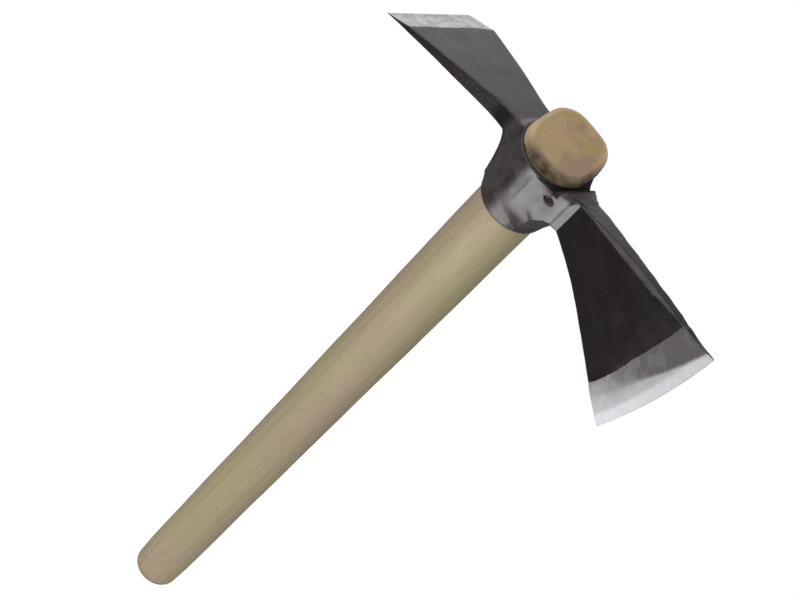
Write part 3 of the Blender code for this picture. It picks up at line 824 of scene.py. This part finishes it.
# Painted shade: near black in the corner between the neck's top and the end of the handle.
painted_corner_shade = span(tree, apart.outputs["X"], 0.009, 0.013)
painted_corner_shade = times(tree, painted_corner_shade, span(tree, apart.outputs["X"], 0.0245, 0.0225))
painted_corner_shade = times(tree, painted_corner_shade, span(tree, apart.outputs["Z"], COLLAR_TOP - 0.0026, COLLAR_TOP - 0.0014))
coat = blend(tree, painted_corner_shade, coat, (0.0030, 0.0026, 0.0024, 1))
rub_place = add(tree, "Mapping", {"Vector": place, "Rotation": (0.5, 0.9, 0.3)}).outputs[0]
rubs = span(tree, noise(tree, rub_place, (2600, 45, 45), detail=1.5), 0.685, 0.73)
worn = span(tree, noise(tree, place, (420, 420, 420)), 0.38, 0.62)
thin = times(tree, span(tree, bend, 0.22, 0.75), worn)
grit = add(tree, "Group", {"Vector": place, "Spacing": 620.0, "Amount": 0.10}, node_tree=specks).outputs[0]
coat = blend(tree, times(tree, thin, 0.75), coat, (0.060, 0.048, 0.043, 1))
coat = blend(tree, times(tree, rubs, 0.07), coat, (0.050, 0.045, 0.046, 1))
coat = blend(tree, times(tree, grit, 0.40), coat, (0.100, 0.088, 0.076, 1))
coat_rough = span(tree, flow, 0.3, 0.7, 0.15, 0.27)
coat_rough = plus(tree, coat_rough, times(tree, calc(tree, "MAXIMUM", thin, rubs), 0.12))
coat_rough = plus(tree, coat_rough, times(tree, scuffs_and_sheen, 0.12))
coat_rough = calc(tree, "MAXIMUM", coat_rough, times(tree, painted_corner_shade, 0.9))
peel = plus(tree, flow, times(tree, noise(tree, place, (650, 650, 650), detail=1), 0.05))

# Ground steel: faint strokes of the stone run out to the edge, under soft cloudy patches.
strokes = noise(tree, place, (40, 2100, 2100), detail=3, roughness=0.7)
bright = noise(tree, place, (150, 190, 190), detail=3, distortion=0.5)
# Bevel brightness from the field: on the axe partly painted highlight, on the hoe one even value.
facet = add(tree, "Attribute", attribute_name="polish_and_highlight").outputs["Fac"]
facet = plus(tree, facet, span(tree, bright, 0.34, 0.66, -0.15, 0.15))
facet = plus(tree, facet, span(tree, strokes, 0.30, 0.60, -0.03, 0.01))
steel = blend(tree, facet, (0.172, 0.157, 0.168, 1), (0.720, 0.720, 0.748, 1))
blued = times(tree, span(tree, past, 0.0016, 0.0), 0.30)
steel = blend(tree, blued, steel, (0.160, 0.152, 0.168, 1))
stain = span(tree, noise(tree, place, (190, 190, 190), detail=4, roughness=0.7), 0.64, 0.74, 0, 0.22)
steel = blend(tree, stain, steel, (0.300, 0.225, 0.165, 1))
steel_rough = span(tree, bright, 0.3, 0.7, 0.48, 0.38)

chipped = noise(tree, place, (1500, 1500, 1500), detail=3)
ragged = times(tree, calc(tree, "SUBTRACT", chipped, 0.5), 0.0011)
bare = span(tree, plus(tree, past, ragged), -0.00005, 0.00007)
tree.links.new(blend(tree, bare, coat, steel), shader.inputs["Base Color"])
tree.links.new(bare, shader.inputs["Metallic"])
rough = add(tree, "Mix", {0: bare, 2: coat_rough, 3: steel_rough}).outputs[0]
tree.links.new(rough, shader.inputs["Roughness"])
relief = add(tree, "Mix", {0: bare, 2: peel, 3: times(tree, strokes, 0.04)}).outputs[0]
dents = add(tree, "Bump", {"Height": relief, "Distance": 0.00030, "Strength": 0.6})
tree.links.new(dents.outputs[0], shader.inputs["Normal"])
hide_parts("head")
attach(head, "root")


# Locking nail: a round drawn-iron nail, driven through the neck into the wood and sunk below the
# skin, so only its dull head shows at the bottom of a dark hole. The part's own solid is kept.
iron, tree, shader = blank_material("nail iron")
place = add(tree, "TexCoord").outputs["Object"]
rust = span(tree, noise(tree, place, (900, 900, 900), detail=4, roughness=0.7), 0.42, 0.66)
colour = blend(tree, rust, (0.190, 0.190, 0.215, 1), (0.165, 0.145, 0.140, 1))
grit = add(tree, "Group", {"Vector": place, "Spacing": 2200.0, "Amount": 0.3}, node_tree=specks).outputs[0]
colour = blend(tree, times(tree, grit, 0.5), colour, (0.16, 0.13, 0.10, 1))
tree.links.new(colour, shader.inputs["Base Color"])
tree.links.new(calc(tree, "SUBTRACT", 0.5, times(tree, rust, 0.4)), shader.inputs["Metallic"])
tree.links.new(span(tree, rust, 0, 1, 0.42, 0.78), shader.inputs["Roughness"])
dents = add(tree, "Bump", {"Height": rust, "Distance": 0.00008, "Strength": 0.6})
tree.links.new(dents.outputs[0], shader.inputs["Normal"])
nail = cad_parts["locking_nail"]
nail.data.materials.clear()
nail.data.materials.append(iron)


# Floor: a round of white card under the butt. It stays white to the eye and takes a soft shadow.
FLOOR_RADIUS = 0.30
FLOOR_BELOW = 0.0004
FLOOR_SIDES = 96
card, tree, shader = blank_material("white card")
shader.inputs["Roughness"].default_value = 0.9
pulp = noise(tree, add(tree, "TexCoord").outputs["Object"], (240, 240, 240))
paper = blend(tree, pulp, (0.81, 0.81, 0.81, 1), (0.83, 0.83, 0.83, 1))
rays = add(tree, "LightPath")
# Painted shade: in reflections the card is dark grey, as if the floor round the tool lay in shade.
paper = blend(tree, rays.outputs["Is Glossy Ray"], paper, (0.20, 0.20, 0.20, 1))
tree.links.new(paper, shader.inputs["Base Color"])
glow = add(tree, "Emission", {"Color": (1, 1, 1, 1), "Strength": 0.52})
lit = add(tree, "AddShader", {0: shader.outputs[0], 1: glow.outputs[0]})
seen = add(tree, "MixShader", {0: rays.outputs["Is Camera Ray"], 1: shader.outputs[0], 2: lit.outputs[0]})
tree.links.new(seen.outputs[0], tree.nodes["Material Output"].inputs["Surface"])
turn = np.linspace(0, 2 * np.pi, FLOOR_SIDES, endpoint=False)
disc = np.stack([FLOOR_RADIUS * np.cos(turn), FLOOR_RADIUS * np.sin(turn), 0 * turn - FLOOR_BELOW], 1)
floor = mesh_piece("floor", disc, [np.arange(FLOOR_SIDES)[None, :]], card, 30)
floor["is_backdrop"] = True


# Surroundings: white to the eye, and for the soft light brighter on the photographer's side. Gloss
# sees a pale wall round the horizon, dim floor and ceiling, and four soft panes of light.
KEY_WAY = (0.27, -0.67, 0.68)
world = bpy.data.worlds.new("studio")
bpy.context.scene.world = world
world.use_nodes = True
tree = world.node_tree
rays = add(tree, "LightPath")
towards = add(tree, "TexCoord").outputs["Generated"]
way = add(tree, "SeparateXYZ", {"Vector": towards})


def pane(towards_pane, rim, core, strength):
    """Light of a soft pane: full within one angle of its middle and nothing past another."""
    middle = Vector(towards_pane).normalized()
    near = vector(tree, "DOT_PRODUCT", towards, middle, gives="Value")
    return span(tree, near, math.cos(math.radians(rim)), math.cos(math.radians(core)), 0.0, strength)


ambient = plus(tree, pane((0.391, -0.574, 0.719), 125, 30, 0.26), 0.25)
wall = calc(tree, "MINIMUM", span(tree, way.outputs["Z"], -0.56, -0.24, 0.14, 0.95),
            span(tree, way.outputs["Z"], 0.10, 0.45, 0.95, 0.28))
window = pane((-0.77, -0.51, 0.39), 26, 10, 1.5)
low_pane = pane((0.42, -0.55, -0.72), 32, 8, 5.8)
bench = pane((0.10, -0.73, -0.68), 20, 8, 0.60)
key_pane = pane(KEY_WAY, 32, 14, 0.80)
mirrored_light = wall
for light in (window, low_pane, bench, key_pane):
    mirrored_light = plus(tree, mirrored_light, light)
unseen = add(tree, "Mix", {0: rays.outputs["Is Glossy Ray"], 2: ambient, 3: mirrored_light})
shown = add(tree, "Mix", {0: rays.outputs["Is Camera Ray"], 2: unseen.outputs[0], 3: 1.0})
tree.links.new(shown.outputs[0], tree.nodes["Background"].inputs["Strength"])
tree.nodes["Background"].inputs["Color"].default_value = (1, 1, 1, 1)


# Lights: a large soft box beside and above the photographer, and a weak one that fills the far side.
def lamp(name, towards_lamp, distance, size, watts):
    """Square soft box that faces the middle of the tool from a direction."""
    light = bpy.data.lights.new(name, "AREA")
    light.energy, light.size = watts, size
    made = bpy.data.objects.new(name, light)
    direction = Vector(towards_lamp).normalized()
    made.location = Vector((0, 0, 0.25)) + direction * distance
    made.rotation_mode = "QUATERNION"
    made.rotation_quaternion = direction.to_track_quat("Z", "Y")
    made.visible_camera = made.visible_glossy = False
    bpy.context.scene.collection.objects.link(made)


lamp("key box", KEY_WAY, 3.0, 2.6, 74)
lamp("fill box", (-0.35, 0.85, 0.35), 3.0, 2.6, 33)

low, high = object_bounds()
